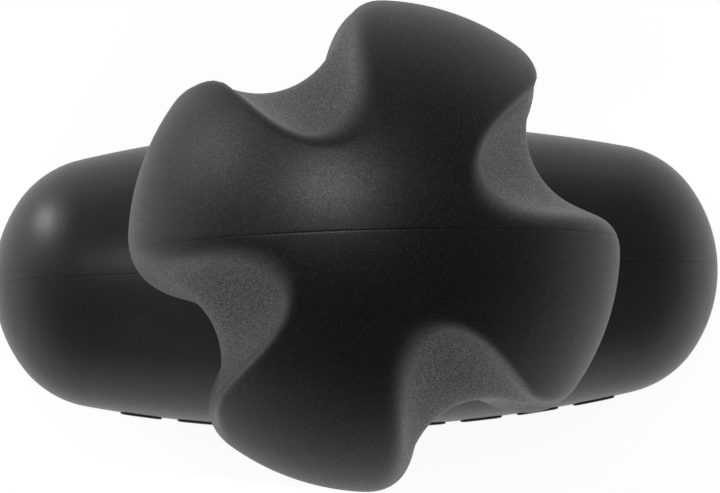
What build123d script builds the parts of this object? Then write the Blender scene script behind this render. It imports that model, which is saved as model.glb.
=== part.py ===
"""Massage ball on a barrel base: a four-lobed rubber ball stands on a short neck over a crowned barrel.

The base is two plastic half shells that meet on the plane y = 0, screwed together round a nylon spine.
One long bolt comes up through the spine and a steel tube in the neck, and pulls the ball's rigid core down
onto the neck. Row frame: +Z up, +X along the barrel, -Y the front, origin at the middle of the sole.
"""

import os
from math import atan2, cos, degrees, hypot, radians, sin, sqrt

from build123d import *

# Barrel base
bar_length = 103.5
bar_diameter = 43.2  # across the crown, at mid length
crown_radius = 193.0  # lengthwise bulge of the barrel
shoulder_radius = 14.5
nose_radius = 20.3
shell_wall = 3.0

# Sole
sole_cut = 3.6  # how much of the barrel the flat sole takes away
sole_pad_length = 64.0
sole_pad_width = 17.0
sole_pad_proud = 0.8
sole_pad_sunk = 1.5
sole_floor_wall = 2.5  # shell left above the pad's pocket

# Grip pads on the front of the barrel
grip_pad_count = 9
grip_pad_width = 5.9
grip_pad_pitch = 8.1
grip_pad_shift = 1.15  # how far the row stands to the right of mid length
grip_pad_height = 6.5
grip_pad_drop = 2.6  # how far the row's middle lies below the barrel's axis
grip_pad_corner = 0.8
grip_pad_proud = 0.3
grip_pad_sunk = 0.5

# Neck
neck_length = 14.9  # from the barrel's crown to the neck's top face
neck_waist_radius = 13.5
neck_waist_drop = 8.2  # from the neck's top face to its waist
neck_foot_radius = 15.0
neck_blend = 6.0
collar_thickness = 1.5
collar_inset = 1.0  # how far the collar stands inside the ball's foot

# Ball
ball_diameter = 65.0
ball_foot_radius = 16.5  # flat underside of the ball
groove_count = 4
first_groove_angle = 24.6
groove_depth = 8.8  # at mid height
groove_wall_slope = 0.4  # how fast a groove's floor closes in on the axis, away from mid height
groove_ridge_round = 5.0  # half height of the rounded ridge in that floor, at mid height
groove_mid_radius = 11.0  # across a groove, at mid height
groove_top_radius = 6.0  # across a groove, level with the ball's top
groove_foot_radius = 4.0  # across a groove, level with the ball's bottom
groove_levels = (-0.8, -0.4, 0, 0.5, 1.2)  # heights of a groove's sections, in radii of the ball
groove_edge_round = 2.0

# Rigid core inside the ball
cover_thickness = 10.5
core_hub_radius = 11.0
core_arm_width = 9.0
core_arm_height = 26.0
core_top_above_centre = 15.0
core_flange_radius = 13.0
core_flange_thickness = 4.0
core_round = 1.5
core_arm_end_round = 4.0

# Clamping bolt, its tube, washer and insert
bolt_radius = 4.0
bolt_head_across_flats = 13.0
bolt_head_height = 5.3
bolt_chamfer = 0.8
bolt_engagement = 16.0
washer_radius = 10.0
washer_thickness = 1.6
tube_radius = 8.0
insert_radius = 6.0
insert_length = 18.0

# Dowels that stop the ball turning on the neck
dowel_radius = 1.25
dowel_circle_radius = 10.8
dowel_depth_in_neck = 5.0
dowel_depth_in_core = 3.2

# Spine inside the barrel
spine_width = 12.0
spine_height = 12.0
spine_end_margin = 6.0
spine_corner = 2.0
spine_chamfer = 0.6
rib_thickness = 2.0
rib_washer_gap = 1.5

# Shell screws and their plugs
inner_screw_x = 20.0
outer_screw_inset = 14.0  # from the end of the barrel
screw_radius = 1.5
screw_head_radius = 2.8
screw_head_height = 2.2
screw_length = 14.0
screw_drive_radius = 1.2
screw_boss_radius = 4.0
screw_boss_stand = 0.5  # how far a boss comes through the spine
screw_sleeve_radius = 5.0
screw_seat_thickness = 2.0
plug_radius = 3.2
plug_length = 4.0

# Clearances
slide_gap = 0.1  # round a bolt, a dowel, a plug or a screw
seat_gap = 0.2  # round the spine and the bosses that pass through it
head_gap = 1.0  # under the bolt's head

# Places that follow from the sizes above
bar_radius = bar_diameter / 2
bar_axis_z = bar_radius - sole_cut + sole_pad_proud
sole_face_z = sole_pad_proud
cavity_floor_z = sole_face_z + sole_pad_sunk + sole_floor_wall
spine_bottom_z = cavity_floor_z + head_gap + bolt_head_height + washer_thickness
spine_top_z = spine_bottom_z + spine_height
spine_mid_z = (spine_bottom_z + spine_top_z) / 2
neck_top_z = bar_axis_z + bar_radius + neck_length
collar_radius = ball_foot_radius - collar_inset
ball_foot_z = neck_top_z + collar_thickness
ball_radius = ball_diameter / 2
ball_z = ball_foot_z + sqrt(ball_radius**2 - ball_foot_radius**2)
outer_screw_x = bar_length / 2 - outer_screw_inset
spine_length = 2 * (outer_screw_x + spine_end_margin)
screw_xs = (-outer_screw_x, -inner_screw_x, inner_screw_x, outer_screw_x)
boss_tip_y = spine_width / 2 + screw_boss_stand
sleeve_tip_y = boss_tip_y + slide_gap
screw_seat_y = sleeve_tip_y + screw_seat_thickness
screw_head_y = screw_seat_y + screw_head_height
insert_z = ball_foot_z + core_flange_thickness
groove_angles = [first_groove_angle + 360 / groove_count * k for k in range(groove_count)]
lobe_angles = [angle + 180 / groove_count for angle in groove_angles]
core_arm_reach = ball_radius - cover_thickness
inner_rib_x = washer_radius + rib_washer_gap + rib_thickness / 2
outer_rib_x = (inner_screw_x + outer_screw_x) / 2
rib_xs = (-outer_rib_x, -inner_rib_x, inner_rib_x, outer_rib_x)
dowel_places = [(0, -dowel_circle_radius), (0, dowel_circle_radius)]
bar_axis = Axis((0, 0, bar_axis_z), (1, 0, 0))
bar_plane = Plane.XY.offset(bar_axis_z)


def barrel_outline(grow):
    """Half outline of the barrel, grown outwards by `grow`: crown, shoulder and nose arcs, all tangent."""
    crown = crown_radius + grow
    shoulder = shoulder_radius + grow
    nose = nose_radius + grow
    height = bar_radius + grow
    nose_x = bar_length / 2 - nose_radius
    crown_y = height - crown
    reach = hypot(nose_x, crown_y)
    to_crown = crown - shoulder
    to_nose = nose - shoulder
    along = (to_crown**2 - to_nose**2 + reach**2) / (2 * reach)
    aside = sqrt(to_crown**2 - along**2)
    ux, uy = nose_x / reach, -crown_y / reach
    shoulder_x = along * ux + aside * uy
    shoulder_y = crown_y + along * uy - aside * ux
    crown_angle = degrees(atan2(shoulder_x, shoulder_y - crown_y))
    nose_angle = degrees(atan2(shoulder_y, shoulder_x - nose_x))
    with BuildLine() as outline:
        crown_arc = CenterArc((0, crown_y), crown, 90 - crown_angle, 2 * crown_angle)
        start = crown_arc @ 0
        mid_angle = radians((90 - crown_angle + nose_angle) / 2)
        mid_x = shoulder_x + shoulder * cos(mid_angle)
        mid_y = shoulder_y + shoulder * sin(mid_angle)
        half = radians(nose_angle / 2)
        for side in (1, -1):
            first = (side * start.X, start.Y)
            last = (side * (nose_x + nose * cos(2 * half)), nose * sin(2 * half))
            ThreePointArc(first, (side * mid_x, mid_y), last)
            tip = (side * (nose_x + nose), 0)
            ThreePointArc(last, (side * (nose_x + nose * cos(half)), nose * sin(half)), tip)
        Line((-(nose_x + nose), 0), (nose_x + nose, 0))
    return outline.line


def barrel(grow):
    """The solid barrel, grown outwards by `grow`, without its neck or sole."""
    with BuildPart() as solid:
        with BuildSketch(bar_plane):
            with BuildLine():
                add(barrel_outline(grow))
            make_face()
        revolve(axis=bar_axis)
    return solid.part


def cylinder_on(place, radius, length):
    """A cylinder that starts at `place` and runs along its normal."""
    with BuildPart() as solid:
        with BuildSketch(place):
            Circle(radius)
        extrude(amount=length)
    return solid.part


def barrel_radius_at(x):
    """Radius of the barrel's crown at a distance x from mid length."""
    return bar_radius - crown_radius + sqrt(crown_radius**2 - x**2)


def plug_seat_y(x):
    """Where the inner end of a screw's plug lies."""
    return barrel_radius_at(x) - plug_length


def posts(tip_y, wall_y, radius):
    """A round post at each screw, from its tip to the middle of the shell wall."""
    direction = 1 if wall_y > tip_y else -1
    with BuildPart() as made:
        for x in screw_xs:
            add(cylinder_on(rear_facing(x, tip_y), radius, direction * abs(wall_y - tip_y)))
        add(barrel(-shell_wall / 2), mode=Mode.INTERSECT)
    return made.part


def groove_floor(height):
    """How far a groove's floor lies from the ball's axis, at a height from the ball's centre."""
    fall = hypot(height, groove_ridge_round) - groove_ridge_round
    return ball_radius - groove_depth - groove_wall_slope * fall


def rear_facing(x, y):
    """Plane at a screw's axis whose normal is +Y."""
    return Plane(origin=(x, y, spine_mid_z), x_dir=(-1, 0, 0), z_dir=(0, 1, 0))


# The outer form of the base: barrel, waisted neck and flat sole
with BuildPart() as base_form:
    add(barrel(0))
    with BuildSketch(Plane.XZ):
        with BuildLine():
            Polyline(
                (neck_foot_radius, bar_axis_z + bar_radius / 2),
                (0, bar_axis_z + bar_radius / 2),
                (0, neck_top_z),
                (collar_radius, neck_top_z),
            )
            ThreePointArc(
                (collar_radius, neck_top_z),
                (neck_waist_radius, neck_top_z - neck_waist_drop),
                (neck_foot_radius, bar_axis_z + bar_radius / 2),
            )
        make_face()
    revolve(axis=Axis.Z)
    junction = base_form.edges().filter_by(GeomType.BSPLINE).sort_by(SortBy.LENGTH)[-1]
    fillet(junction, radius=neck_blend)
    with BuildSketch(Plane.XY.offset(sole_face_z)):
        Rectangle(2 * bar_length, 2 * bar_diameter)
    extrude(amount=-bar_diameter, mode=Mode.SUBTRACT)

# The hollow inside the barrel, with a level floor over the sole
with BuildPart() as hollow:
    add(barrel(-shell_wall))
    with BuildSketch(Plane.XY.offset(cavity_floor_z)):
        Rectangle(2 * bar_length, 2 * bar_diameter)
    extrude(amount=-bar_diameter, mode=Mode.SUBTRACT)

# Spine: a beam along the barrel, bored for the bolt and for the screw bosses
with BuildPart() as spine:
    with BuildSketch(Plane.XY.offset(spine_bottom_z)):
        RectangleRounded(spine_length, spine_width, spine_corner)
    extrude(amount=spine_height)
    chamfer(spine.faces().filter_by(Axis.Z).edges(), length=spine_chamfer)
    with BuildSketch(Plane.XY.offset(spine_bottom_z)):
        Circle(bolt_radius + slide_gap)
    extrude(amount=spine_height, mode=Mode.SUBTRACT)
    with BuildSketch(Plane.XZ.offset(-spine_width / 2)):
        with Locations(*[(x, spine_mid_z) for x in screw_xs]):
            Circle(screw_boss_radius + seat_gap)
    extrude(amount=spine_width, mode=Mode.SUBTRACT)
spine.part.label = "base_spine"

# Sole pad, sunk into the flat of both shells
with BuildPart() as sole_pad:
    with BuildSketch():
        SlotOverall(sole_pad_length, sole_pad_width)
    extrude(amount=sole_pad_proud + sole_pad_sunk)
    chamfer(sole_pad.faces().sort_by(Axis.Z)[0].edges(), length=sole_pad_proud / 2)
sole_pad.part.label = "sole_pad"

# Grip pads: a row of plain raised blocks on the front of the barrel, bedded in its wall
with BuildPart() as grip_pads:
    add(barrel(grip_pad_proud))
    add(barrel(-grip_pad_sunk), mode=Mode.SUBTRACT)
    with BuildSketch(Plane.XZ):
        with Locations((grip_pad_shift, bar_axis_z - grip_pad_drop)):
            with GridLocations(grip_pad_pitch, 0, grip_pad_count, 1):
                RectangleRounded(grip_pad_width, grip_pad_height, grip_pad_corner)
    extrude(amount=bar_diameter, mode=Mode.INTERSECT)
grip_pads.part.label = "grip_pads"

# Ribs that hold the spine off the shell wall
with BuildPart() as ribs:
    add(hollow.part)
    with BuildSketch(Plane.XY.offset(cavity_floor_z)):
        with Locations(*[(x, 0) for x in rib_xs]):
            Rectangle(rib_thickness, bar_diameter)
    extrude(amount=bar_diameter, mode=Mode.INTERSECT)
    with BuildSketch(Plane.XY.offset(spine_bottom_z - seat_gap)):
        Rectangle(spine_length + 2 * seat_gap, spine_width + 2 * seat_gap)
    extrude(amount=spine_height + 2 * seat_gap, mode=Mode.SUBTRACT)

# Both shells as one hollow wall, before it is parted along the seam
with BuildPart() as base_walls:
    add(base_form.part)
    add(hollow.part, mode=Mode.SUBTRACT)
    add(ribs.part)
    with BuildSketch(Plane.XY.offset(bar_axis_z)):
        Circle(tube_radius + slide_gap)
    extrude(amount=neck_top_z - bar_axis_z, mode=Mode.SUBTRACT)
    with BuildSketch(Plane.XY.offset(neck_top_z)):
        with Locations(*dowel_places):
            Circle(dowel_radius + slide_gap)
    extrude(amount=-dowel_depth_in_neck, mode=Mode.SUBTRACT)
    add(sole_pad.part, mode=Mode.SUBTRACT)
    add(grip_pads.part, mode=Mode.SUBTRACT)

# Front shell, with a boss for each screw that reaches back through the spine
with BuildPart() as front_shell:
    add(base_walls.part)
    split(bisect_by=Plane.XZ, keep=Keep.TOP)
    add(posts(boss_tip_y, -bar_radius, screw_boss_radius))
    for x in screw_xs:
        pilot = cylinder_on(rear_facing(x, boss_tip_y), screw_radius, -screw_length)
        add(pilot, mode=Mode.SUBTRACT)
front_shell.part.label = "base_front_shell"

# Rear shell, with a sleeve for each screw, counterbored for the screw's head and its plug
with BuildPart() as rear_shell:
    add(base_walls.part)
    split(bisect_by=Plane.XZ, keep=Keep.BOTTOM)
    add(posts(sleeve_tip_y, bar_radius, screw_sleeve_radius))
    for x in screw_xs:
        shank_hole = cylinder_on(rear_facing(x, 0), screw_radius + slide_gap, bar_radius)
        counterbore = cylinder_on(rear_facing(x, screw_seat_y), plug_radius + slide_gap, bar_radius)
        add([shank_hole, counterbore], mode=Mode.SUBTRACT)
rear_shell.part.label = "base_rear_shell"

# Pan-head screws that close the shells
with BuildPart() as shell_screws:
    for x in screw_xs:
        add(cylinder_on(rear_facing(x, screw_seat_y), screw_head_radius, screw_head_height))
        add(cylinder_on(rear_facing(x, screw_seat_y), screw_radius, -screw_length))
        drive = cylinder_on(rear_facing(x, screw_head_y), screw_drive_radius, -screw_drive_radius)
        add(drive, mode=Mode.SUBTRACT)
shell_screws.part.label = "shell_screws"

# Plugs that fill the counterbores flush with the barrel
with BuildPart() as screw_plugs:
    for x in screw_xs:
        add(cylinder_on(rear_facing(x, plug_seat_y(x)), plug_radius, bar_radius))
    add(barrel(0), mode=Mode.INTERSECT)
screw_plugs.part.label = "screw_plugs"

# Tube through the neck that carries the push of the ball down to the spine
with BuildPart() as stem_tube:
    with BuildSketch(Plane.XY.offset(spine_top_z)):
        Circle(tube_radius)
        Circle(bolt_radius + slide_gap, mode=Mode.SUBTRACT)
    extrude(amount=ball_foot_z - spine_top_z)
stem_tube.part.label = "stem_tube"

# Clamping bolt, head down
with BuildPart() as stem_bolt:
    with BuildSketch(Plane.XY.offset(spine_bottom_z - washer_thickness)):
        RegularPolygon(bolt_head_across_flats / 2, 6, major_radius=False)
    extrude(amount=-bolt_head_height)
    chamfer(stem_bolt.faces().sort_by(Axis.Z)[0].edges(), length=bolt_chamfer)
    with BuildSketch(Plane.XY.offset(spine_bottom_z - washer_thickness)):
        Circle(bolt_radius)
    extrude(amount=insert_z + bolt_engagement - spine_bottom_z + washer_thickness)
    chamfer(stem_bolt.faces().sort_by(Axis.Z)[-1].edges(), length=bolt_chamfer)
stem_bolt.part.label = "stem_bolt"

with BuildPart() as bolt_washer:
    with BuildSketch(Plane.XY.offset(spine_bottom_z)):
        Circle(washer_radius)
        Circle(bolt_radius + slide_gap, mode=Mode.SUBTRACT)
    extrude(amount=-washer_thickness)
bolt_washer.part.label = "bolt_washer"

# Collar: a thin ring that seals the joint between the neck and the ball
with BuildPart() as neck_collar:
    with BuildSketch(Plane.XY.offset(neck_top_z)):
        Circle(collar_radius)
        Circle(tube_radius + slide_gap, mode=Mode.SUBTRACT)
        with Locations(*dowel_places):
            Circle(dowel_radius + slide_gap, mode=Mode.SUBTRACT)
    extrude(amount=collar_thickness)
neck_collar.part.label = "neck_collar"

# Dowels that keep the ball's parting line over the seam of the base
with BuildPart() as head_dowels:
    with BuildSketch(Plane.XY.offset(neck_top_z - dowel_depth_in_neck)):
        with Locations(*dowel_places):
            Circle(dowel_radius)
    extrude(amount=dowel_depth_in_neck + collar_thickness + dowel_depth_in_core)
head_dowels.part.label = "head_dowels"

# Threaded insert in the core
with BuildPart() as core_insert:
    with BuildSketch(Plane.XY.offset(insert_z)):
        Circle(insert_radius)
        Circle(bolt_radius + slide_gap, mode=Mode.SUBTRACT)
    extrude(amount=insert_length)
core_insert.part.label = "core_insert"

# Rigid core: a hub on a flange, with an arm into each lobe
with BuildPart() as core_form:
    with BuildSketch(Plane.XY.offset(ball_foot_z)):
        Circle(core_hub_radius)
    extrude(amount=ball_z + core_top_above_centre - ball_foot_z)
    with BuildSketch(Plane.XY.offset(ball_z - core_arm_height / 2)):
        for angle in lobe_angles:
            with Locations(Rotation(0, 0, angle)):
                with Locations((core_arm_reach / 2, 0)):
                    RectangleRounded(core_arm_reach, core_arm_width, core_arm_end_round)
    extrude(amount=core_arm_height)
    fillet(core_form.faces().sort_by(Axis.Z)[-1].edges(), radius=core_round)
    with BuildSketch(Plane.XY.offset(ball_foot_z)):
        Circle(core_flange_radius)
    extrude(amount=core_flange_thickness)

with BuildPart() as head_core:
    add(core_form.part)
    with BuildSketch(Plane.XY.offset(ball_foot_z)):
        Circle(bolt_radius + slide_gap)
    extrude(amount=insert_z + insert_length - ball_foot_z, mode=Mode.SUBTRACT)
    with BuildSketch(Plane.XY.offset(insert_z)):
        Circle(insert_radius)
    extrude(amount=insert_length, mode=Mode.SUBTRACT)
    with BuildSketch(Plane.XY.offset(ball_foot_z)):
        with Locations(*dowel_places):
            Circle(dowel_radius + slide_gap)
    extrude(amount=dowel_depth_in_core + slide_gap, mode=Mode.SUBTRACT)
head_core.part.label = "head_core"

# What a groove along +X takes out of the ball: level circles that all touch the groove's floor
with BuildPart() as groove:
    for level in groove_levels:
        end_radius = groove_top_radius if level > 0 else groove_foot_radius
        across = groove_mid_radius - (groove_mid_radius - end_radius) * abs(level)
        with BuildSketch(Plane.XY.offset(ball_z + level * ball_radius)):
            with Locations((groove_floor(level * ball_radius) + across, 0)):
                Circle(across)
    loft()

# Lobed rubber cover, moulded round the core
with BuildPart() as head_cover:
    with Locations(Location((0, 0, ball_z), (0, 0, lobe_angles[0]))):
        Sphere(ball_radius)
    for angle in groove_angles:
        add(groove.part.rotate(Axis.Z, angle), mode=Mode.SUBTRACT)
    long_edges = head_cover.edges().filter_by(GeomType.BSPLINE).sort_by(SortBy.LENGTH)
    fillet(long_edges[-groove_count:], radius=groove_edge_round)
    with BuildSketch(Plane.XY.offset(ball_foot_z)):
        Rectangle(2 * ball_diameter, 2 * ball_diameter)
    extrude(amount=-ball_diameter, mode=Mode.SUBTRACT)
    add(core_form.part, mode=Mode.SUBTRACT)
head_cover.part.label = "head_cover"

os.makedirs("parts", exist_ok=True)
for piece in (
    front_shell,
    rear_shell,
    spine,
    sole_pad,
    grip_pads,
    shell_screws,
    screw_plugs,
    stem_tube,
    stem_bolt,
    bolt_washer,
    neck_collar,
    head_dowels,
    core_insert,
    head_core,
    head_cover,
):
    export_step(piece.part, f"parts/{piece.part.label}.step")
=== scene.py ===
"""Looks of a massage ball: a lobed rubber ball on a short neck over a satin barrel, seen from above.

Laid out as an add-on and run as a script. Every length in the functions is in metres, in the part's own
frame: +Z up, +X along the barrel, -Y the front.
"""

import math

import bmesh
import bpy
import numpy as np
from bpy.props import FloatProperty, FloatVectorProperty, PointerProperty
from bpy.types import Operator, Panel, PropertyGroup
from mathutils import Matrix, Vector


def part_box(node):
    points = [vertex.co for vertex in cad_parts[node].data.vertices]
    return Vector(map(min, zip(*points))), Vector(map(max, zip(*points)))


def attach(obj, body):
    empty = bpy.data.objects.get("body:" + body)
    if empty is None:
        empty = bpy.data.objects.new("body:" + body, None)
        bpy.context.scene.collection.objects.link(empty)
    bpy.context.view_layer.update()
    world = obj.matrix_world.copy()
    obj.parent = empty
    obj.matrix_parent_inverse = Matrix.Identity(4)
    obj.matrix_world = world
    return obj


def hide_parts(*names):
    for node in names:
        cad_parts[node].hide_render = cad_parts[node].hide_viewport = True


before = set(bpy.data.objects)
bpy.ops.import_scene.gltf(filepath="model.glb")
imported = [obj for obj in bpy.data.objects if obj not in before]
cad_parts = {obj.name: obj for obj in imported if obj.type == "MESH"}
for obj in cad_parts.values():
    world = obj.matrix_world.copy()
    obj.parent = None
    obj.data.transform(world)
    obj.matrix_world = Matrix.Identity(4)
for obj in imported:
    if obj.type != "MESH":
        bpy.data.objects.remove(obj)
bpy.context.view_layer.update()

bl_info = {
    "name": "Massage Ball Looks",
    "version": (1, 0, 0),
    "blender": (4, 5, 0),
    "location": "3D View > Sidebar > Massage Ball",
    "description": "Builds the visible skins, finishes and studio of a massage ball round its CAD part",
    "category": "Object",
}

MM = 0.001

# Places read from the part
HEAD_LOW, HEAD_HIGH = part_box("head_cover")
BALL_RADIUS = (HEAD_HIGH.x - HEAD_LOW.x) / 2
BALL_CENTRE = Vector((0, 0, HEAD_HIGH.z - BALL_RADIUS))
BALL_FOOT = HEAD_LOW.z
SHELL_LOW, SHELL_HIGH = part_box("base_rear_shell")


# ---------------------------------------------------------------- meshes


def mesh_from_faces(name, vertices, quads, triangles):
    """A smooth mesh from whole arrays of corners."""
    corners = np.concatenate([quads.ravel(), triangles.ravel()])
    counts = np.concatenate([np.full(len(quads), 4), np.full(len(triangles), 3)])
    starts = np.concatenate([[0], np.cumsum(counts)[:-1]])
    mesh = bpy.data.meshes.new(name)
    mesh.vertices.add(len(vertices))
    mesh.vertices.foreach_set("co", vertices.astype(np.float32).ravel())
    mesh.loops.add(len(corners))
    mesh.loops.foreach_set("vertex_index", corners.astype(np.int32))
    mesh.polygons.add(len(counts))
    mesh.polygons.foreach_set("loop_start", starts.astype(np.int32))
    mesh.polygons.foreach_set("use_smooth", np.ones(len(counts), bool))
    mesh.update(calc_edges=True)
    if mesh.validate():
        raise RuntimeError(f"{name}: the grid gave faces that had to be mended")
    return mesh


def mesh_from_grid(name, points):
    """A closed mesh from a grid of points, rows from the top pole to the bottom pole, columns round the axis.

    The first and the last row are poles: each is a single vertex with a fan of triangles, and every other
    pair of rows is joined by quads that wrap round. Rows run down and columns run anticlockwise seen from
    above, so that faces point outwards. A stack of grids gives one mesh of as many closed surfaces.
    """
    points = points.reshape(-1, *points.shape[-3:])
    count, rows, columns = points.shape[:3]
    inner = points[:, 1:-1].reshape(count, -1, 3)
    vertices = np.concatenate([points[:, 0, :1], inner, points[:, -1, :1]], axis=1)
    column = np.arange(columns)
    after = (column + 1) % columns
    row = np.arange(rows - 3)[:, None] * columns + 1
    below = row + columns
    quads = np.stack([row + column, below + column, below + after, row + after], axis=-1).reshape(-1, 4)
    last = vertices.shape[1] - 1
    ring = last - columns
    top_fan = np.stack([np.zeros(columns, int), 1 + column, 1 + after], axis=-1)
    bottom_fan = np.stack([np.full(columns, last), ring + after, ring + column], axis=-1)
    first = np.arange(count)[:, None, None] * (last + 1)
    quads = (quads + first).reshape(-1, 4)
    fans = (np.concatenate([top_fan, bottom_fan]) + first).reshape(-1, 3)
    return mesh_from_faces(name, vertices.reshape(-1, 3), quads, fans)


def mesh_from_ring(name, points):
    """A closed ring from a grid that wraps both ways: rows round the profile, columns round the axis."""
    rows, columns = points.shape[:2]
    row, column = np.meshgrid(np.arange(rows), np.arange(columns), indexing="ij")
    below, after = (row + 1) % rows, (column + 1) % columns
    here, there = row * columns, below * columns
    quads = np.stack([here + column, there + column, there + after, here + after], axis=-1)
    return mesh_from_faces(name, points.reshape(-1, 3), quads.reshape(-1, 4), np.empty((0, 3), int))


def add_piece(name, mesh, slot, *nodes):
    """Links a mesh as a piece of the part that stands for the given CAD nodes."""
    piece = bpy.data.objects.new(name, mesh)
    bpy.context.scene.collection.objects.link(piece)
    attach(piece, "root")
    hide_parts(*nodes)
    return piece


def smooth_copy(name, node, crease):
    """A CAD node's mesh with its corners merged and its faces smooth, but for edges sharper than `crease`.

    The two half shells mirror each other across the seam, so the outer skin's normals lie in the plane y = 0
    there, and the copy is given those.
    """
    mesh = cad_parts[node].data.copy()
    mesh.name = name
    work = bmesh.new()
    work.from_mesh(mesh)
    bmesh.ops.remove_doubles(work, verts=work.verts, dist=0.5e-6)
    for face in work.faces:
        face.smooth = True
    work.to_mesh(mesh)
    work.free()
    mesh.set_sharp_from_angle(angle=crease)
    corners = np.empty(len(mesh.loops), np.int32)
    mesh.loops.foreach_get("vertex_index", corners)
    places = np.empty(3 * len(mesh.vertices), np.float32)
    mesh.vertices.foreach_get("co", places)
    normals = np.empty(3 * len(mesh.loops), np.float32)
    mesh.corner_normals.foreach_get("vector", normals)
    normals = normals.reshape(-1, 3)
    at_seam = (np.abs(places.reshape(-1, 3)[corners, 1]) < 1e-6) & (np.abs(normals[:, 1]) < 0.5)
    normals[at_seam, 1] = 0
    normals /= np.linalg.norm(normals, axis=1, keepdims=True)
    mesh.normals_split_custom_set(normals)
    return mesh


def rounded_max(a, b, width):
    """The larger of two fields, blended by a parabola wherever they differ by less than `width`."""
    near = np.clip(1 - np.abs(a - b) / width, 0, 1)
    return np.maximum(a, b) + near * near * width / 4


# ---------------------------------------------------------------- ball

GROOVE_COUNT = 4
FIRST_GROOVE = math.radians(24.6)


def ball_field(points):
    """Below zero inside the lobed ball: a sphere less four grooves, each a leaning funnel with oval sections.

    A groove's section at one height is an oval that touches the groove's floor line. The floor line is
    nearest the ball's skin at mid height and slopes in towards the axis above and below it, with a rounded
    ridge between the two slopes. The oval's radius along the floor shrinks from mid height to the ends.
    Going anticlockwise, the first edge of a groove is turned over softly and the last one is crisp, more so
    above mid height.
    """
    x, y, z = points[..., 0] / MM, points[..., 1] / MM, (points[..., 2] - BALL_CENTRE.z) / MM
    radius = BALL_RADIUS / MM
    reach = 0.9 * radius
    field = np.sqrt(x * x + y * y + z * z) - radius
    ridge = 5.0
    floor_at_middle, width_at_middle, least_width = 23.7, 11.0, 2.0
    fall = np.sqrt(z * z + ridge**2) - ridge
    full_fall = math.sqrt(reach**2 + ridge**2) - ridge
    below = z < 0
    floor = floor_at_middle - np.where(below, 0.15, 0.4) * fall
    width_at_end = np.where(below, 3.0, 6.5)
    across = np.maximum(width_at_middle - (width_at_middle - width_at_end) * fall / full_fall, least_width)
    turn = 2.5 + 3.5 * np.clip(1 - np.abs(z) / reach, 0, 1)
    up = np.clip(z / reach, -1, 1)
    for number in range(GROOVE_COUNT):
        angle = FIRST_GROOVE + 2 * math.pi * number / GROOVE_COUNT
        out = x * math.cos(angle) + y * math.sin(angle)
        side = -x * math.sin(angle) + y * math.cos(angle)
        crisp = 0.5 + 0.5 * np.tanh(side / 2.0)
        above, under = np.clip(2 * up, 0, 1), np.clip(-2 * up, 0, 1)
        crisp_width = 1 - 0.03 * above - 0.15 * under
        soft_width = 1 - 0.14 * under
        width = soft_width + (crisp_width - soft_width) * crisp
        rise = np.clip(2.6 * up - 0.35, 0, 1)
        edge_turn = turn * (1 - 0.6 * crisp * rise * rise * (3 - 2 * rise))
        groove = across - np.sqrt((out - floor - across) ** 2 + (side / width) ** 2)
        field = rounded_max(field, groove, edge_turn)
    foot = (BALL_FOOT - points[..., 2]) / MM
    foot_edge = 0.8
    return rounded_max(field, foot, foot_edge) * MM


def surface_on_rays(field, centre, directions, farthest, steps=16):
    """Where each ray from the centre leaves the solid, found by halving the span that the surface lies in."""
    low = np.full(directions.shape[:-1], 0.15 * farthest)
    high = np.full(directions.shape[:-1], farthest)
    for _ in range(steps):
        middle = (low + high) / 2
        inside = field(centre + directions * middle[..., None]) < 0
        low = np.where(inside, middle, low)
        high = np.where(inside, high, middle)
    return (low + high) / 2


def angles_with_seams(count):
    """Angles round the axis, evenly spread, with extra ones beside the seam at 0 and at half a turn."""
    even = np.linspace(0, 2 * math.pi, count, endpoint=False)
    close = np.radians([0.12, 0.28, 0.5])
    extra = np.concatenate([at + side * close for at in (0, math.pi) for side in (-1, 1)])
    return np.unique(np.round(np.mod(np.concatenate([even, extra]), 2 * math.pi), 9))


def ball_grid(seam_width, seam_depth):
    """The ball's skin on a grid of rays from its centre: angle from the top by angle round the axis.

    Each ray is as long as the field says, less a fine dip along the parting line, where y is nearly 0. It
    is the outer skin alone, without the hollow that holds the core.
    """
    foot_radius = math.sqrt(BALL_RADIUS**2 - (BALL_CENTRE.z - BALL_FOOT) ** 2)
    foot_angle = math.pi - math.atan2(foot_radius, BALL_CENTRE.z - BALL_FOOT)
    near_pole = np.radians([0.1, 0.25, 0.45])
    side_rows = np.linspace(0, foot_angle, 194)
    foot_rows = np.linspace(foot_angle, math.pi, 16)[1:]
    down = np.concatenate([side_rows, foot_rows, near_pole])
    down.sort()
    around = angles_with_seams(360)
    down, around = np.meshgrid(down, around, indexing="ij")
    level = np.sin(down)
    directions = np.stack([level * np.cos(around), level * np.sin(around), np.cos(down)], axis=-1)
    centre = np.array(BALL_CENTRE)
    length = surface_on_rays(ball_field, centre, directions, BALL_RADIUS * 1.0001)
    length = np.minimum(length, BALL_RADIUS)
    dip = seam_depth * np.exp(-((directions[..., 1] * length / seam_width) ** 2))
    return centre + directions * (length - dip)[..., None]


# ---------------------------------------------------------------- pads and collar

BARREL_AXIS_Z = 18.8 * MM
CROWN_RADIUS = 193.0 * MM
GRIP_COUNT = 9
GRIP_PITCH = 8.1 * MM
GRIP_PROUD = 0.295 * MM
GRIP_SUNK = 0.5 * MM
SQUARENESS = 8
SOLE_EDGE = 0.4 * MM
COLLAR_BORE = 8.1 * MM


def rounded_square(angle):
    """A point on the square of half width 1 with softly rounded corners: |x|^8 + |y|^8 = 1, by direction."""
    x, y = np.cos(angle), np.sin(angle)
    reach = (np.abs(x) ** SQUARENESS + np.abs(y) ** SQUARENESS) ** (1 / SQUARENESS)
    return x / reach, y / reach


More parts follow.
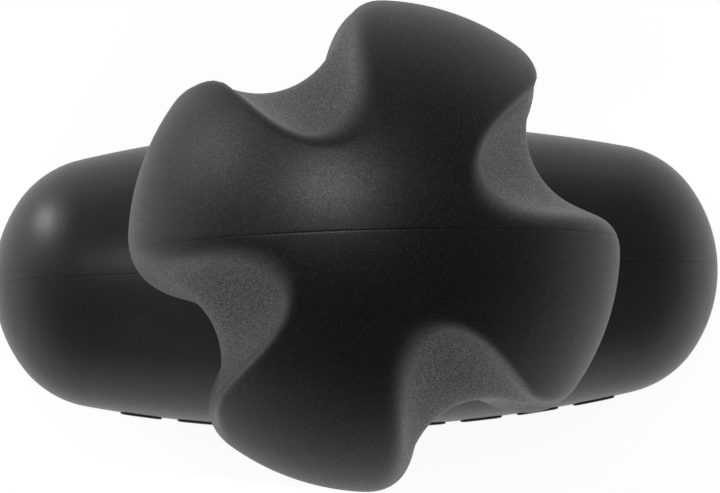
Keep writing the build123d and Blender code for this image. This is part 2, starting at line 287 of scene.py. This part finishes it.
def grip_pads_grid():
    """Nine soft pads that follow the barrel's bulge, one grid each.

    In the first parameter a rounded square gives how far a point is from the pad's middle and how deep it
    lies; in the second a rounded square gives the pad's outline. The depth is measured from the barrel's
    skin, a circle round the barrel's axis whose radius falls off towards the ends by the crown's arc.
    """
    low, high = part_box("grip_pads")
    half_width = (high.x - low.x - (GRIP_COUNT - 1) * GRIP_PITCH) / 2
    half_height = (high.z - low.z) / 2
    depth, reach = rounded_square(np.linspace(0, math.pi, 41))
    across, up = rounded_square(np.arange(96) * (2 * math.pi / 96))
    middle = low.x + half_width + np.arange(GRIP_COUNT)[:, None, None] * GRIP_PITCH
    x = middle + half_width * reach[:, None] * across
    z = (low.z + high.z) / 2 + half_height * reach[:, None] * up + np.zeros_like(x)
    skin = SHELL_HIGH.y - CROWN_RADIUS + np.sqrt(CROWN_RADIUS**2 - x**2)
    radius = skin + (GRIP_PROUD - GRIP_SUNK) / 2 + (GRIP_PROUD + GRIP_SUNK) / 2 * depth[:, None]
    y = -np.sqrt(radius**2 - (z - BARREL_AXIS_Z) ** 2)
    return np.stack([x, y, z], axis=-1)


def sole_pad_grid():
    """A soft flat bar with round ends under the barrel.

    The outline is every point one radius away from the bar's middle line. The first parameter runs from
    the top's middle out to the edge, round a quarter circle, down, round again and back in underneath; the
    second runs round the outline.
    """
    low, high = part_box("sole_pad")
    radius, edge = high.y, SOLE_EDGE
    quarter = np.linspace(0, math.pi / 2, 9)
    face = np.linspace(0, 1, 12)
    line = np.concatenate([face, np.ones(2 * len(quarter)), face[::-1]])
    round_out = radius - edge + edge * np.sin(quarter)
    out = np.concatenate([face * (radius - edge), round_out, round_out[::-1], face[::-1] * (radius - edge)])
    top = high.z - edge + edge * np.cos(quarter)
    under = low.z + edge - edge * np.cos(quarter[::-1])
    height = np.concatenate([np.full(len(face), high.z), top, under, np.full(len(face), low.z)])
    keep = np.concatenate([[True], (np.abs(np.diff(out)) + np.abs(np.diff(height))) > 1e-9])
    line, out, height = line[keep], out[keep], height[keep]
    angle = (np.arange(128) + 0.5) * (2 * math.pi / 128)
    x = line[:, None] * (high.x - radius) * np.sign(np.cos(angle)) + out[:, None] * np.cos(angle)
    y = out[:, None] * np.sin(angle)
    return np.stack([x, y, height[:, None] + np.zeros_like(x)], axis=-1)


def collar_grid():
    """A flat soft ring round the stem: a rounded rectangle for its profile, turned round the upright axis.

    It is a plain ring, without the two holes that the dowels pass through.
    """
    low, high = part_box("neck_collar")
    inner = COLLAR_BORE
    out, up = rounded_square(-np.arange(64) * (2 * math.pi / 64))
    radius = (high.x + inner) / 2 + (high.x - inner) / 2 * out[:, None]
    height = (high.z + low.z) / 2 + (high.z - low.z) / 2 * up[:, None]
    angle = np.arange(192) * (2 * math.pi / 192)
    x, y = radius * np.cos(angle), radius * np.sin(angle)
    return np.stack([x, y, height + np.zeros_like(x)], axis=-1)


# ---------------------------------------------------------------- finishes


class Value:
    """One number socket of a finish. + - * / and the methods add Math nodes and give their results."""

    def __init__(self, finish, socket):
        self.finish = finish
        self.socket = socket

    def math(self, operation, *others, clamp=False):
        made = self.finish.node(
            "ShaderNodeMath",
            {"operation": operation, "use_clamp": clamp},
            dict(enumerate([self, *others])),
        )
        return Value(self.finish, made.outputs[0])

    def __add__(self, other):
        return self.math("ADD", other)

    __radd__ = __add__

    def __mul__(self, other):
        return self.math("MULTIPLY", other)

    __rmul__ = __mul__

    def __sub__(self, other):
        return self.math("SUBTRACT", other)

    def __rsub__(self, other):
        return (self * -1) + other

    def __truediv__(self, other):
        return self.math("DIVIDE", other)

    def size(self):
        """The value without its sign."""
        return self.math("ABSOLUTE")

    def clamped(self):
        """The value kept between 0 and 1."""
        return self.math("ADD", 0.0, clamp=True)

    def line(self, width):
        """1 where the value is 0, falling smoothly to nothing about `width` away on both sides."""
        return 1 - (self.size() / width).clamped()


class Finish:
    """A material with a Principled shader; node() adds any node, and the other methods add the usual ones."""

    def __init__(self, name, **constants):
        self.material = bpy.data.materials.new(name)
        self.material.use_nodes = True
        self.tree = self.material.node_tree
        self.tree.nodes.clear()
        self.shader = self.node(
            "ShaderNodeBsdfPrincipled",
            {},
            {k.replace("_", " "): v for k, v in constants.items()},
        )
        self.node("ShaderNodeOutputMaterial", {}, {"Surface": self.shader.outputs[0]})
        self.place = self.node("ShaderNodeTexCoord").outputs["Object"]

    def node(self, kind, settings=None, inputs=None):
        """Adds a node: its settings are set first, then each input is linked or given its value."""
        made = self.tree.nodes.new(kind)
        for key, setting in (settings or {}).items():
            if key == "stops":
                ramp = made.color_ramp
                for number, (at, colour) in enumerate(setting):
                    stop = ramp.elements[number] if number < 2 else ramp.elements.new(at)
                    stop.position, stop.color = at, (*colour, 1)
            else:
                setattr(made, key, setting)
        for key, given in (inputs or {}).items():
            socket = made.inputs[key]
            given = given.socket if isinstance(given, Value) else given
            if isinstance(given, bpy.types.NodeSocket):
                self.tree.links.new(given, socket)
            elif socket.type == "RGBA":
                socket.default_value = (*given[:3], 1)
            else:
                socket.default_value = given
        return made

    def noise(self, grain, detail=2.0, roughness=0.5, stretch=None):
        """Noise from 0 to 1 in lumps about `grain` metres across, its axes scaled by `stretch`."""
        place = self.place
        if stretch:
            place = self.node("ShaderNodeMapping", {}, {"Vector": place, "Scale": stretch}).outputs[0]
        made = self.node(
            "ShaderNodeTexNoise",
            {"noise_dimensions": "3D"},
            {"Vector": place, "Scale": 1 / grain, "Detail": detail, "Roughness": roughness},
        )
        return Value(self, made.outputs[0])

    def cells(self, grain):
        """Distance to the nearest of scattered points about `grain` metres apart, from 0 to about 1."""
        made = self.node(
            "ShaderNodeTexVoronoi",
            {"feature": "F1"},
            {"Vector": self.place, "Scale": 1 / grain},
        )
        return Value(self, made.outputs["Distance"])

    def axis(self, letter):
        """One of the object's own coordinates, in metres."""
        made = self.node("ShaderNodeSeparateXYZ", {}, {"Vector": self.place})
        return Value(self, made.outputs[letter])

    def distance(self, point):
        """Distance from a point in the object's own coordinates, in metres."""
        made = self.node("ShaderNodeVectorMath", {"operation": "DISTANCE"}, {0: self.place, 1: point})
        return Value(self, made.outputs["Value"])

    def between(self, low, high, value):
        """0 below `low`, 1 above `high`, and smooth between them."""
        made = self.node(
            "ShaderNodeMapRange",
            {"interpolation_type": "SMOOTHSTEP"},
            {"Value": value, "From Min": low, "From Max": high},
        )
        return Value(self, made.outputs[0])

    def blend(self, first, second, share):
        """A colour between two, by `share` from 0 to 1."""
        made = self.node("ShaderNodeMix", {"data_type": "RGBA"}, {0: share, 6: first, 7: second})
        return made.outputs[2]

    def relief(self, height, depth, strength=1.0):
        """Gives the shader a bump from a height of 0 to 1 that stands for `depth` metres."""
        made = self.node("ShaderNodeBump", {}, {"Strength": strength, "Distance": depth, "Height": height})
        self.tree.links.new(made.outputs[0], self.shader.inputs["Normal"])

    def give(self, **varying):
        """Links what changes over the surface to the shader."""
        for key, given in varying.items():
            socket = given.socket if isinstance(given, Value) else given
            self.tree.links.new(socket, self.shader.inputs[key.replace("_", " ")])
        return self.material


def eroded_rubber(look):
    """Black moulded rubber with an eroded grain: glossy crests, broad dull patches, a fine parting line with
    painted shade along it.
    """
    finish = Finish(
        "eroded_rubber",
        Specular_IOR_Level=look.specular,
        Sheen_Weight=look.sheen,
        Sheen_Roughness=0.5,
        Coat_Roughness=0.45,
    )
    grain = finish.noise(look.grain, detail=1.5, roughness=0.7)
    pits = finish.cells(look.grain * 1.3)
    patches = finish.noise(16 * MM, detail=3.0)
    seam = finish.axis("Y").line(look.seam_width)
    crest = finish.between(0.44, 0.62, grain)
    groove = 1 - finish.between(BALL_RADIUS - 3.5 * MM, BALL_RADIUS - 0.4 * MM, finish.distance(BALL_CENTRE))
    worn = finish.between(0.3, 0.7, patches)
    dark = tuple(c * 0.5 for c in look.colour)
    pale = tuple(c * 2.2 for c in look.colour)
    colour = finish.blend(dark, pale, crest * 0.6 + worn * 0.3)
    # painted shade: the colour darkens along the parting line, standing in for the shade in its fine groove
    colour = finish.blend(colour, tuple(c * 0.3 for c in look.colour), seam * 0.6)
    finish.relief(grain * 0.6 + pits * 0.4, look.grain_depth)
    gloss = 0.45 + worn * 0.1 + (crest - 0.45) * (0.35 + groove * 0.9)
    return finish.give(
        Base_Color=colour,
        Roughness=look.roughness + (patches - 0.5) * 0.1,
        Coat_Weight=(gloss * look.crests * (1 - seam * 0.8)).clamped(),
    )


def satin_plastic(look):
    """Black satin plastic: fine mould grain, faint rubbed streaks, a fine groove where the shells meet with
    painted shade along it.
    """
    finish = Finish("satin_plastic", Specular_IOR_Level=look.specular, Coat_Roughness=0.4)
    grain = finish.noise(0.3 * MM, detail=1.5, roughness=0.6)
    peel = finish.noise(1.1 * MM, detail=2.0)
    haze = finish.noise(14 * MM, detail=4.0)
    rubs = finish.noise(2.2 * MM, detail=4.0, stretch=(0.25, 1.0, 1.0))
    scuff = finish.between(0.56, 0.8, rubs) * finish.between(0.42, 0.62, haze)
    seam = finish.axis("Y").line(look.seam_width)
    colour = finish.blend(look.colour, tuple(c * 1.8 for c in look.colour), scuff * 0.5 + haze * 0.25)
    # painted shade: the colour darkens along the seam where the shells meet, standing in for the shade in the
    # crease
    colour = finish.blend(colour, tuple(c * 0.2 for c in look.colour), seam * 0.9)
    finish.relief(peel * 0.15 + grain * 0.1 - seam, look.relief_depth)
    return finish.give(
        Base_Color=colour,
        Roughness=look.roughness + scuff * 0.12 + (haze - 0.5) * 0.08,
        Coat_Weight=(finish.between(0.4, 0.65, grain) * 0.16 * (1 - seam)).clamped(),
    )


def pad_rubber():
    """Dull soft rubber with a fine pebble grain."""
    finish = Finish("pad_rubber", Specular_IOR_Level=0.35, Sheen_Weight=0.1, Sheen_Roughness=0.6)
    pebble = finish.cells(0.45 * MM)
    dust = finish.noise(7 * MM, detail=4.0)
    colour = finish.blend((0.006, 0.006, 0.0065), (0.018, 0.018, 0.019), dust * 0.8)
    finish.relief(1 - pebble, 0.04 * MM)
    return finish.give(Base_Color=colour, Roughness=0.62 + (dust - 0.5) * 0.15)


def core_nylon():
    """Natural grey-white nylon with faint flow marks."""
    finish = Finish("core_nylon", Specular_IOR_Level=0.5)
    flow = finish.noise(5 * MM, detail=3.0, stretch=(0.4, 1.0, 1.0))
    fine = finish.noise(0.4 * MM)
    colour = finish.blend((0.52, 0.5, 0.45), (0.66, 0.64, 0.58), flow)
    finish.relief(fine, 0.01 * MM)
    return finish.give(Base_Color=colour, Roughness=0.45 + flow * 0.12)


def bright_metal(name, colour, spangle):
    """Plated or turned metal: drawn lines, a spangle of slightly different tones, small dull spots."""
    finish = Finish(name, Metallic=1.0)
    lines = finish.noise(0.25 * MM, detail=3.0, stretch=(1.0, 1.0, 4.0))
    tones = finish.cells(spangle)
    spots = finish.between(0.6, 0.75, finish.noise(1.5 * MM, detail=4.0))
    shade = tuple(c * 0.7 for c in colour)
    made = finish.blend(shade, colour, (tones * 0.6 + 0.4).clamped())
    made = finish.blend(made, tuple(c * 0.45 for c in colour), spots * 0.35)
    finish.relief(lines, 0.006 * MM)
    return finish.give(Base_Color=made, Roughness=0.28 + spots * 0.25 + lines * 0.08)


def floor_paint(look):
    """Plain pale studio floor: matt white with the faintest mottling."""
    finish = Finish(
        "studio_floor",
        Roughness=0.85,
        Emission_Color=(1, 1, 1),
        Emission_Strength=look.floor_glow,
    )
    mottle = finish.noise(120 * MM, detail=3.0)
    pale = tuple(look.floor_colour)
    return finish.give(Base_Color=finish.blend(tuple(c * 0.98 for c in pale), pale, mottle))


def dress(piece, material):
    """Gives every material slot of a piece the finish."""
    slots = piece.data.materials
    if not slots:
        slots.append(material)
    for number in range(len(slots)):
        slots[number] = material


# ---------------------------------------------------------------- settings


class BallSettings(PropertyGroup):
    colour: FloatVectorProperty(
        name="Colour",
        description="Rubber colour",
        subtype="COLOR",
        size=3,
        min=0,
        max=1,
        default=(0.0028, 0.0028, 0.0029),
    )
    roughness: FloatProperty(
        name="Roughness",
        description="How dull the rubber is",
        min=0,
        max=1,
        default=0.5,
    )
    specular: FloatProperty(
        name="Specular",
        description="How strongly the rubber reflects face on",
        min=0,
        max=1,
        default=0.1,
    )
    sheen: FloatProperty(
        name="Sheen",
        description="Pale bloom on surfaces seen edge on",
        min=0,
        max=1,
        default=0.04,
    )
    grain: FloatProperty(
        name="Grain",
        description="Size of the eroded grain",
        unit="LENGTH",
        default=0.25 * MM,
        precision=6,
    )
    crests: FloatProperty(
        name="Crests",
        description="How glossy the crests of the grain are",
        min=0,
        max=1,
        default=0.5,
    )
    grain_depth: FloatProperty(
        name="Grain depth",
        description="Depth of the eroded grain",
        unit="LENGTH",
        default=0.025 * MM,
        precision=6,
    )
    seam_width: FloatProperty(
        name="Parting line",
        description="Half width of the parting line",
        unit="LENGTH",
        default=0.1 * MM,
        precision=6,
    )
    seam_depth: FloatProperty(
        name="Parting depth",
        description="Depth of the parting line",
        unit="LENGTH",
        default=0.045 * MM,
        precision=6,
    )


class BaseSettings(PropertyGroup):
    colour: FloatVectorProperty(
        name="Colour",
        description="Plastic colour",
        subtype="COLOR",
        size=3,
        min=0,
        max=1,
        default=(0.021, 0.021, 0.0215),
    )
    roughness: FloatProperty(
        name="Roughness",
        description="How satin the plastic is",
        min=0,
        max=1,
        default=0.4,
    )
    specular: FloatProperty(
        name="Specular",
        description="How strongly the plastic reflects face on",
        min=0,
        max=1,
        default=0.28,
    )
    seam_width: FloatProperty(
        name="Seam",
        description="Half width of the line where the shells meet",
        unit="LENGTH",
        default=0.11 * MM,
        precision=6,
    )
    relief_depth: FloatProperty(
        name="Relief",
        description="Depth of the seam line and the orange peel",
        unit="LENGTH",
        default=0.02 * MM,
        precision=6,
    )
    crease: FloatProperty(
        name="Crease",
        description="Edges sharper than this stay sharp",
        subtype="ANGLE",
        default=math.radians(28),
    )


class StageSettings(PropertyGroup):
    floor_size: FloatProperty(name="Floor size", description="Side of the floor", unit="LENGTH", default=12.0)
    floor_colour: FloatVectorProperty(
        name="Floor colour",
        description="Colour of the floor",
        subtype="COLOR",
        size=3,
        min=0,
        max=1,
        default=(0.55, 0.55, 0.55),
    )
    floor_glow: FloatProperty(
        name="Floor glow",
        description="Light that the floor gives off by itself",
        min=0,
        default=0.86,
    )
    sky: FloatProperty(
        name="Surroundings",
        description="Brightness of the white surroundings",
        min=0,
        default=0.45,
    )
    overhead: FloatProperty(
        name="Overhead",
        description="Brightness of the surroundings straight above",
        min=0,
        default=0.26,
    )
    key: FloatProperty(
        name="Top light",
        description="Power of the small soft light above the ball",
        unit="POWER",
        min=0,
        default=0.0085,
    )
    end: FloatProperty(
        name="End light",
        description="Power of the low strip light beside the barrel's left end",
        unit="POWER",
        min=0,
        default=0.022,
    )
    side: FloatProperty(
        name="Side light",
        description="Power of the broad soft light behind the left end",
        unit="POWER",
        min=0,
        default=0.45,
    )
    distance: FloatProperty(
        name="Camera distance",
        description="From the ball's centre to the camera",
        unit="LENGTH",
        default=0.8,
    )
    lens: FloatProperty(name="Lens", description="Focal length in millimetres", default=302.75)
    lean_right: FloatProperty(
        name="Lean",
        description="How far the view leans along the barrel",
        subtype="ANGLE",
        default=math.radians(-2.3),
    )
    lean_front: FloatProperty(
        name="Tilt",
        description="How far the view leans to the front",
        subtype="ANGLE",
        default=math.radians(3.66),
    )
    roll: FloatProperty(
        name="Roll",
        description="How far the camera is turned about its line of sight",
        subtype="ANGLE",
        default=math.radians(1.63),
    )
    aim_left: FloatProperty(
        name="Aim",
        description="How far to the left of the ball's centre the camera points",
        unit="LENGTH",
        default=1.85 * MM,
        precision=5,
    )


# ---------------------------------------------------------------- operators


class MASSAGE_OT_ball(Operator):
    """Make the lobed rubber ball"""

    bl_idname = "massage.ball"
    bl_label = "Lobed Ball"

    def execute(self, context):
        look = context.scene.massage_ball
        points = ball_grid(look.seam_width, look.seam_depth)
        piece = add_piece("ball_skin", mesh_from_grid("ball_skin", points), "ball_rubber", "head_cover")
        dress(piece, eroded_rubber(look))
        return {"FINISHED"}


class MASSAGE_OT_base(Operator):
    """Make the two smooth half shells of the base"""

    bl_idname = "massage.base"
    bl_label = "Base Shells"

    def execute(self, context):
        look = context.scene.massage_base
        plastic = satin_plastic(look)
        for name, node in (("front_shell_skin", "base_front_shell"), ("rear_shell_skin", "base_rear_shell")):
            dress(add_piece(name, smooth_copy(name, node, look.crease), "base_plastic", node), plastic)
        dress(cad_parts["screw_plugs"], plastic)
        return {"FINISHED"}


class MASSAGE_OT_pads(Operator):
    """Give the pads and the collar their rubber"""

    bl_idname = "massage.pads"
    bl_label = "Pads and Collar"

    def execute(self, context):
        rubber = pad_rubber()
        pieces = (
            ("sole_pad", mesh_from_grid("soft_sole_pad", sole_pad_grid())),
            ("grip_pads", mesh_from_grid("soft_grip_pads", grip_pads_grid())),
            ("neck_collar", mesh_from_ring("soft_neck_collar", collar_grid())),
        )
        for node, mesh in pieces:
            dress(add_piece(mesh.name, mesh, "pad_rubber", node), rubber)
        return {"FINISHED"}


class MASSAGE_OT_inner(Operator):
    """Give the hidden pieces their nylon and metal"""

    bl_idname = "massage.inner"
    bl_label = "Inner Pieces"

    def execute(self, context):
        nylon = core_nylon()
        steel = bright_metal("zinc_steel", (0.62, 0.64, 0.66), 1.2 * MM)
        brass = bright_metal("turned_brass", (0.78, 0.58, 0.28), 2.0 * MM)
        for node in ("base_spine", "head_core"):
            dress(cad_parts[node], nylon)
        for node in ("shell_screws", "stem_tube", "stem_bolt", "bolt_washer", "head_dowels"):
            dress(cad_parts[node], steel)
        dress(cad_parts["core_insert"], brass)
        return {"FINISHED"}


def aimed(place, target, roll=0.0):
    """Stands something at a place, its -Z to the target and its +Y to the world's +Y, then rolled."""
    forward = (target - place).normalized()
    right = forward.cross(Vector((0, 1, 0))).normalized()
    up = right.cross(forward)
    turned = Matrix((right, up, -forward)).transposed().to_4x4()
    return Matrix.Translation(place) @ turned @ Matrix.Rotation(roll, 4, "Z")


def soft_light(name, place, target, width, height, power, spread=math.pi):
    """A soft rectangular light that faces its target and is hidden from the camera."""
    data = bpy.data.lights.new(name, "AREA")
    data.shape = "RECTANGLE"
    data.size, data.size_y, data.energy = width, height, power
    data.spread = spread
    light = bpy.data.objects.new(name, data)
    light.matrix_world = aimed(place, target)
    light.visible_camera = False
    bpy.context.scene.collection.objects.link(light)


class MASSAGE_OT_stage(Operator):
    """Make the floor, the white surroundings, the lights and the camera"""

    bl_idname = "massage.stage"
    bl_label = "Studio"

    def execute(self, context):
        look = context.scene.massage_stage
        scene = context.scene
        half = look.floor_size / 2
        mesh = bpy.data.meshes.new("studio_floor")
        corners = [(-half, -half, 0), (half, -half, 0), (half, half, 0), (-half, half, 0)]
        mesh.from_pydata(corners, [], [(0, 1, 2, 3)])
        floor = bpy.data.objects.new("studio_floor", mesh)
        scene.collection.objects.link(floor)
        dress(floor, floor_paint(look))

        world = bpy.data.worlds.new("white_surroundings")
        world.use_nodes = True
        nodes, links = world.node_tree.nodes, world.node_tree.links
        place = nodes.new("ShaderNodeTexCoord")
        split = nodes.new("ShaderNodeSeparateXYZ")
        ramp = nodes.new("ShaderNodeMapRange")
        ramp.interpolation_type = "SMOOTHSTEP"
        ramp.inputs["From Min"].default_value = 0.08
        ramp.inputs["From Max"].default_value = 0.42
        ramp.inputs["To Min"].default_value = look.sky
        ramp.inputs["To Max"].default_value = look.overhead
        links.new(place.outputs["Generated"], split.inputs[0])
        links.new(split.outputs["Z"], ramp.inputs["Value"])
        links.new(ramp.outputs[0], nodes["Background"].inputs["Strength"])
        nodes["Background"].inputs["Color"].default_value = (1, 1, 1, 1)
        scene.world = world

        above = BALL_CENTRE + Vector((-0.36, 0.36, 0.86)) * 0.13
        soft_light("top_light", above, BALL_CENTRE, 0.07, 0.02, look.key, math.radians(32))
        beside = BALL_CENTRE + Vector((-0.62, 0.25, -0.04))
        soft_light("side_light", beside, BALL_CENTRE, 1.1, 0.08, look.side)
        left_end = Vector((SHELL_LOW.x * 0.8, 0, SHELL_HIGH.z * 0.5))
        past_end = left_end + Vector((-0.105, 0.1, -0.005))
        soft_light("end_light", past_end, left_end, 0.24, 0.03, look.end, math.radians(42))

        data = bpy.data.cameras.new("camera")
        data.sensor_width, data.lens = 36.0, look.lens
        data.clip_start, data.clip_end = 0.05, 50
        away = Vector((math.tan(look.lean_right), -math.tan(look.lean_front), 1)).normalized()
        place = BALL_CENTRE + away * look.distance
        side = aimed(place, BALL_CENTRE).to_3x3().col[0]
        camera = bpy.data.objects.new("camera", data)
        camera.matrix_world = aimed(place, BALL_CENTRE - side * look.aim_left, -look.roll)
        scene.collection.objects.link(camera)
        scene.camera = camera
        scene.view_settings.view_transform = "Standard"
        return {"FINISHED"}


class MASSAGE_PT_panel(Panel):
    """Lists the pieces and the studio"""

    bl_idname = "MASSAGE_PT_panel"
    bl_label = "Massage Ball"
    bl_space_type = "VIEW_3D"
    bl_region_type = "UI"
    bl_category = "Massage Ball"

    def draw(self, context):
        layout = self.layout
        for maker, settings in MAKERS:
            box = layout.box()
            box.operator(maker.bl_idname)
            if settings:
                group = getattr(context.scene, settings)
                for key in group.bl_rna.properties.keys():
                    if key not in ("rna_type", "name"):
                        box.prop(group, key)


MAKERS = (
    (MASSAGE_OT_ball, "massage_ball"),
    (MASSAGE_OT_base, "massage_base"),
    (MASSAGE_OT_pads, None),
    (MASSAGE_OT_inner, None),
    (MASSAGE_OT_stage, "massage_stage"),
)
SETTINGS = {"massage_ball": BallSettings, "massage_base": BaseSettings, "massage_stage": StageSettings}
CLASSES = (*SETTINGS.values(), *(maker for maker, _ in MAKERS), MASSAGE_PT_panel)


def register():
    for made in CLASSES:
        bpy.utils.register_class(made)
    for name, group in SETTINGS.items():
        setattr(bpy.types.Scene, name, PointerProperty(type=group))


def unregister():
    for name in SETTINGS:
        delattr(bpy.types.Scene, name)
    for made in reversed(CLASSES):
        bpy.utils.unregister_class(made)


def main():
    """Registers the classes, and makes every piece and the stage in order."""
    register()
    for maker, _ in MAKERS:
        group, name = maker.bl_idname.split(".")
        getattr(getattr(bpy.ops, group), name)()


if __name__ == "__main__":
    main()
